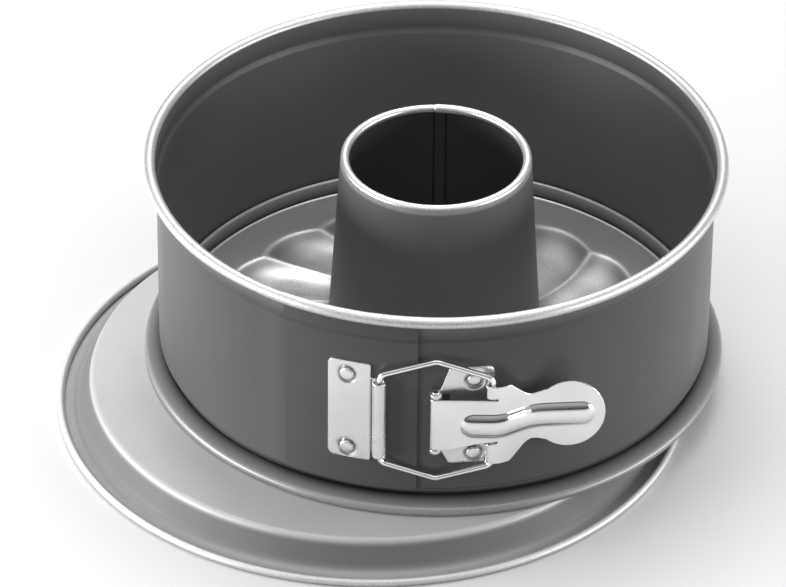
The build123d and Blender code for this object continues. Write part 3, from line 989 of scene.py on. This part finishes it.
def left_bracket():
    """Plate on the outer layer, with a curl at its right edge that holds the bail."""
    mid_r = WALL_R + LAYER_STEP + SHEET / 2 + LATCH_SHEET / 2
    axis = complex(*BAIL_LEFT)
    curl_mid = LEFT_CURL_R - LATCH_SHEET / 2
    plate = wall_arc(mid_r, LEFT_PLATE[0], LEFT_PLATE[1])
    roll_start = axis + 1j * curl_mid
    curl = arc(roll_start, 1 + 0j, curl_mid, LEFT_CURL_TURN)
    bent = Bent(np.concatenate([plate, curl]), roll_start)

    def s_at(x):
        return x_to_s(bent, x, -99, 0)

    edge, end = s_at(LEFT_PLATE[1]), bent.s[-1]
    z0, z1 = LEFT_PLATE[2:]
    low, high = LEFT_CURL_Z
    outline = rounded(
        [
            (s_at(LEFT_PLATE[0]), z0),
            (edge, z0),
            (edge, low),
            (end, low),
            (end, high),
            (edge, high),
            (edge, z1),
            (s_at(LEFT_PLATE[0]), z1),
        ],
        [2.2, 0.9, 0.3, 0.3, 0.3, 0.3, 0.9, 2.2],
    )
    spots = [(s_at(LEFT_RIVET_X), z) for z in RIVET_ZS]

    # Painted shade in the crevice between the plate's edge and its curl, and round the rivets.
    def crease_shade(s, z):
        across = rise(s, edge - 0.15, 0.15) * rise(s, edge + 0.85, -0.3)
        return across * (z > low + 0.2) * (z < high - 0.2) + dimple_shade(s, z, spots)

    shell = Shell()
    place = plate_place(bent, spots, -1)
    formed_sheet(shell, outline, place, LATCH_SHEET, grid=PLATE_GRID, tag=crease_shade)
    shell.piece("latch_plate_left", PLATE_NICKEL, "bright_steel", ["left_bracket"], "ring_left")


def right_bracket():
    """Plate on the right end, with two ears curled round the pin."""
    mid_r = WALL_R + SHEET / 2 + LATCH_SHEET / 2
    axis = complex(*PIN)
    curl_mid = EAR_R - LATCH_SHEET / 2
    roll_start = axis + 1j * curl_mid
    plate = wall_arc(mid_r, RIGHT_PLATE[1], RIGHT_PLATE[0] + 0.4)
    curl = arc(roll_start, -1 + 0j, curl_mid, EAR_TURN)
    bent = Bent(np.concatenate([plate, curl]), roll_start)

    def s_at(x):
        return x_to_s(bent, x, -99, 0)

    x0, x1, z0, z1 = RIGHT_PLATE
    edge, tip, end = s_at(x0), s_at(EAR_TIP_X), bent.s[-1]
    outline = rounded(
        [
            (s_at(x1), z0),
            (edge, z0),
            (tip, LOWER_EAR_Z[0]),
            (end, LOWER_EAR_Z[0]),
            (end, LOWER_EAR_Z[1]),
            (edge, LOWER_EAR_Z[1]),
            (edge, UPPER_EAR_Z[0]),
            (end, UPPER_EAR_Z[0]),
            (end, UPPER_EAR_Z[1]),
            (tip, UPPER_EAR_Z[1]),
            (edge, z1),
            (s_at(x1), z1),
        ],
        [2.2, 1.2, 0.5, 0.3, 0.3, 0.4, 0.4, 0.3, 0.3, 0.5, 1.2, 2.2],
    )
    spots = [(s_at(RIGHT_RIVET_X), z) for z in RIVET_ZS]

    # Painted shade round the rivets.
    def crease_shade(s, z):
        return dimple_shade(s, z, spots)

    shell = Shell()
    place = plate_place(bent, spots, 1)
    formed_sheet(shell, outline, place, LATCH_SHEET, grid=PLATE_GRID, tag=crease_shade)
    shell.piece("latch_plate_right", PLATE_NICKEL, "bright_steel", ["right_bracket"], "ring_right")


def rivet_pair(name, x, wall_r, body, node):
    """Two rivets: a low set head in its dimple, and a flush tail inside the wall."""
    plate_r = wall_r + SHEET / 2
    face_r = plate_r + LATCH_SHEET
    az = math.asin(x / plate_r)
    out = Vector((math.sin(az), -math.cos(az), 0))
    tail = wall_r - SHEET / 2 - face_r
    profile = [
        (0, RIVET_HEAD + 0.08),
        (1.1, RIVET_HEAD + 0.05),
        (RIVET_R - 0.55, RIVET_HEAD - 0.02),
        (RIVET_R - 0.2, RIVET_HEAD - 0.14),
        (RIVET_R - 0.03, RIVET_HEAD - 0.36),
        (RIVET_R, RIVET_HEAD - 0.6),
        (RIVET_R, -DIMPLE_DEPTH - 0.15),
        (RIVET_SHANK_R, -DIMPLE_DEPTH - 0.15),
        (RIVET_SHANK_R, tail + 0.05),
        (RIVET_TAIL_R, tail + 0.05),
        (RIVET_TAIL_R, tail - 0.06),
        (RIVET_TAIL_R - 0.2, tail - 0.12),
        (0, tail - 0.15),
    ]
    shell = Shell()
    for z in RIVET_ZS:
        centre = out * face_r + Vector((0, 0, z))
        lathe(shell, profile, centre, out, (0, 0, 1), 36)
    shell.piece(name, RIVET_STEEL, "bright_steel", [node], body, 50)


def pivot_pin():
    """Pin through the ears, with its ends rounded."""
    profile = [
        (0, PIN_Z[0]),
        (PIN_R - 0.3, PIN_Z[0]),
        (PIN_R - 0.08, PIN_Z[0] + 0.1),
        (PIN_R, PIN_Z[0] + 0.35),
        (PIN_R, PIN_Z[1] - 0.35),
        (PIN_R - 0.08, PIN_Z[1] - 0.1),
        (PIN_R - 0.3, PIN_Z[1]),
        (0, PIN_Z[1]),
    ]
    shell = Shell()
    lathe(shell, profile, (*PIN, 0), count=28)
    shell.piece("hinge_pin", WIRE_NICKEL, "bright_steel", ["pivot_pin"], "ring_right", 50)


def bail():
    """Six-sided wire loop, drawn flat and tilted into its plane."""
    left, right = complex(*BAIL_LEFT), complex(*BAIL_RIGHT)
    width = abs(right - left)
    towards = (right - left) / width
    corners = [
        (0, BAIL_CORNER_HALF),
        (0, -BAIL_CORNER_HALF),
        (width / 2, -BAIL_APEX_HALF),
        (width, -BAIL_CORNER_HALF),
        (width, BAIL_CORNER_HALF),
        (width / 2, BAIL_APEX_HALF),
    ]
    flat = evenly(rounded(corners, [BAIL_BEND] * 6), 1.5)
    plan = left + towards * flat.real
    path = np.stack([plan.real, plan.imag, flat.imag + LATCH_Z], 1)
    normal = np.array([-towards.imag, towards.real, 0])
    shell = Shell()
    wire_loop(shell, path, normal, WIRE_R)
    shell.piece("wire_bail", WIRE_NICKEL, "bright_steel", ["bail"], "bail")


def lever():
    """One formed sheet: curl on the pin, tail, hooks round the bail, waist, palm and rib."""
    sheet_y = PIN[1] - LEVER_CURL_R + LATCH_SHEET / 2
    curl_mid = LEVER_CURL_R - LATCH_SHEET / 2
    start = complex(PIN[0], sheet_y)
    (bend_x, bend_r), (waist_x, waist_r) = LEVER_BENDS
    run = bent_line(
        [(PIN[0], sheet_y), (bend_x, sheet_y), (waist_x, LEVER_WAIST_Y), LEVER_TIP],
        [bend_r, waist_r],
    )
    tip_heading = (run[-1] - run[-2]) / abs(run[-1] - run[-2])
    run = np.append(run, run[-1] + 3 * tip_heading)
    curl = arc(start, -1 + 0j, curl_mid, LEVER_CURL_TURN)
    tail = Bent(np.concatenate([curl[:0:-1], run]), start)
    hook_start = complex(HOOK_X, sheet_y)
    hook = arc(hook_start, -1 + 0j, HOOK_R, HOOK_TURN)
    after = run[run.real > HOOK_X + 0.2]
    flap = Bent(np.concatenate([hook[:0:-1], [hook_start], after]), hook_start)
    hook_s = HOOK_X - PIN[0]
    hook_end = hook_s + flap.s[0]

    def s_at(x):
        return x_to_s(tail, x, 0, 99)

    def in_flap(s, z):
        divide = LEVER_Z - SPLIT_DROP + SPLIT_SLOPE * (s - hook_s)
        hooked = (z > LEVER_Z + LEVER_TAIL_HALF + 0.3) | (z < divide)
        return (s < hook_s + HOOK_REACH) & hooked

    rib_from, rib_to = s_at(RIB_X[0]), s_at(RIB_X[1])

    def rib(s, z):
        along = np.clip(s, rib_from, rib_to)
        away = np.hypot(s - along, z - LEVER_Z)
        flank, crown = RIB_CROWN
        height = np.clip(1 - (away / RIB_HALF) ** flank, 0, 1)
        return RIB_HEIGHT * height**crown

    def place(s, z, depth):
        shift = -(LATCH_SHEET / 2 - depth + rib(s, z))
        tx, ty = tail.at(s, shift)
        fx, fy = flap.at(s - hook_s, shift)
        chosen = in_flap(s, z)
        return np.where(chosen, fx, tx), np.where(chosen, fy, ty), z

    tail_end = tail.s[0]
    palm_s = s_at(PALM_X)
    palm_a = s_at(PALM_X + PALM_HALF[0]) - palm_s
    angles = np.radians(np.arange(-128, 129, 4))
    palm = palm_s + palm_a * np.cos(angles) + 1j * (LEVER_Z + PALM_HALF[1] * np.sin(angles))
    shoulder_s, waist_s = s_at(SHOULDER_RIGHT_X), s_at(WAIST_X) - WAIST_SETBACK
    cut_s = hook_s + CUT_REACH
    upper_tail_z, lower_tail_z = LEVER_Z + LEVER_TAIL_HALF, LEVER_Z - LEVER_TAIL_HALF
    corners = [
        (tail_end, upper_tail_z),
        (tail_end, lower_tail_z),
        (s_at(TAIL_SLOPE_X[0]), lower_tail_z),
        (s_at(TAIL_SLOPE_X[1]), TAIL_SLOPE_Z),
        (cut_s, LOWER_CUT_Z[0]),
        (cut_s, LOWER_CUT_Z[1]),
        (hook_end, LOWER_CUT_Z[2]),
        (hook_end, LEVER_Z - SHOULDER_HALF),
        (shoulder_s, LEVER_Z - SHOULDER_HALF),
        (waist_s, LEVER_Z - WAIST_HALF),
        (palm[0].real, palm[0].imag),
        (palm[-1].real, palm[-1].imag),
        (waist_s, LEVER_Z + WAIST_HALF),
        (shoulder_s, LEVER_Z + SHOULDER_HALF),
        (hook_end, LEVER_Z + SHOULDER_HALF),
        (hook_end, upper_tail_z + UPPER_CUT_WIDTH),
        (cut_s, upper_tail_z + UPPER_CUT_WIDTH),
        (cut_s, upper_tail_z),
    ]
    lower_radii = [0.4, 0.4, 0.5, 2.0, 0.2, 0.2, 0.4, 0.4, SHOULDER_BEND, WAIST_BEND, 0.05]
    upper_radii = [0.05, WAIST_BEND, SHOULDER_BEND, 0.4, 0.3, 0.2, 0.2]
    body = rounded(corners, lower_radii + upper_radii)
    split = int(np.argmin(abs(body - palm[0]))) + 1
    while abs(body[split] - palm[0]) < 0.2:
        split += 1
    outline = np.concatenate([body[:split], palm[1:-1], body[split:]])
    shell = Shell()
    formed_sheet(shell, outline, place, LATCH_SHEET, grid=LEVER_GRID)
    shell.piece("clamp_lever", LEVER_NICKEL, "bright_steel", ["lever"], "lever", 45)


# Stage, lights and camera

CAMERA_AT = (0.00072, -1.4681, 1.06466)
CAMERA_PITCH = math.radians(34.944)
CAMERA_ROLL = math.radians(0.55)
CAMERA_LENS = 250.3


def camera():
    """The photograph's camera, pitched down and rolled a little."""
    right = Vector((1, 0, 0))
    up = Vector((0, math.sin(CAMERA_PITCH), math.cos(CAMERA_PITCH)))
    back = Vector((0, -math.cos(CAMERA_PITCH), math.sin(CAMERA_PITCH)))
    turned_right = right * math.cos(CAMERA_ROLL) + up * math.sin(CAMERA_ROLL)
    turned_up = up * math.cos(CAMERA_ROLL) - right * math.sin(CAMERA_ROLL)
    data = bpy.data.cameras.new("camera")
    data.lens = CAMERA_LENS
    data.sensor_width = 36.0
    data.clip_start = 0.05
    made = bpy.data.objects.new("camera", data)
    axes = Matrix((turned_right, turned_up, back)).transposed().to_4x4()
    made.matrix_world = Matrix.Translation(CAMERA_AT) @ axes
    bpy.context.scene.collection.objects.link(made)
    bpy.context.scene.camera = made


def softbox(name, at, target, size, radiance):
    """Area light with an even glow of the given radiance."""
    data = bpy.data.lights.new(name, "AREA")
    data.shape = "RECTANGLE"
    data.size, data.size_y = size
    data.energy = radiance * math.pi * size[0] * size[1]
    made = bpy.data.objects.new(name, data)
    made.location = at
    made.rotation_euler = (Vector(target) - Vector(at)).to_track_quat("-Z", "Y").to_euler()
    bpy.context.scene.collection.objects.link(made)


def sky():
    """Even pale light from above the horizon and none from under the floor."""
    world = bpy.data.worlds.new("studio")
    world.use_nodes = True
    tree = world.node_tree
    background = tree.nodes["Background"]
    direction = tree.nodes.new("ShaderNodeTexCoord")
    parts = tree.nodes.new("ShaderNodeSeparateXYZ")
    fade = tree.nodes.new("ShaderNodeMapRange")
    for socket, value in (("From Min", 0.1), ("From Max", 0.8), ("To Min", 0.02), ("To Max", 0.75)):
        fade.inputs[socket].default_value = value
    tree.links.new(direction.outputs["Generated"], parts.inputs["Vector"])
    tree.links.new(parts.outputs["Z"], fade.inputs["Value"])
    tree.links.new(fade.outputs["Result"], background.inputs["Strength"])
    background.inputs["Color"].default_value = (1, 1, 1, 1)
    bpy.context.scene.world = world


def studio():
    """White paper under the pan, four lights and the sky; places and sizes in metres."""
    floor = bpy.data.meshes.new("floor")
    reach = 6.0
    floor.from_pydata(
        [(-reach, -reach, 0), (reach, -reach, 0), (reach, reach, 0), (-reach, reach, 0)],
        [],
        [(0, 1, 2, 3)],
    )
    n = Nodes("floor_paper")
    n.join(n.grey(n.ramp(n.noise(3.0, 2.0), 0.64, 0.66)), n.shader.inputs["Base Color"])
    n.shader.inputs["Roughness"].default_value = 0.9
    n.shader.inputs["Specular IOR Level"].default_value = 0.1
    floor.materials.append(n.material)
    made = bpy.data.objects.new("floor", floor)
    bpy.context.scene.collection.objects.link(made)
    made.visible_diffuse = False
    softbox("top_box", (0, -0.15, 1.3), (0, 0.0, 0), (1.2, 0.9), 1.2)
    softbox("crown_box", (0, 0.75, 1.15), (0, 0, 0.05), (0.9, 0.7), 5.5)
    softbox("left_box", (-0.75, -0.14, 0.15), (-0.1, 0.0, 0.05), (0.7, 0.24), 17.0)
    softbox("right_box", (0.75, -0.18, 0.15), (0.1, 0.0, 0.05), (0.7, 0.24), 9.0)
    sky()


def main():
    spring_ring()
    flat_base()
    tube_base_plate()
    centre_tube()
    left_bracket()
    right_bracket()
    outer_layer_r = WALL_R + LAYER_STEP
    rivet_pair("rivets_left", LEFT_RIVET_X, outer_layer_r, "ring_left", "left_rivets")
    rivet_pair("rivets_right", RIGHT_RIVET_X, WALL_R, "ring_right", "right_rivets")
    pivot_pin()
    bail()
    lever()
    camera()
    studio()
    settings = bpy.context.scene.view_settings
    settings.view_transform = "Standard"
    settings.look = "None"


main()
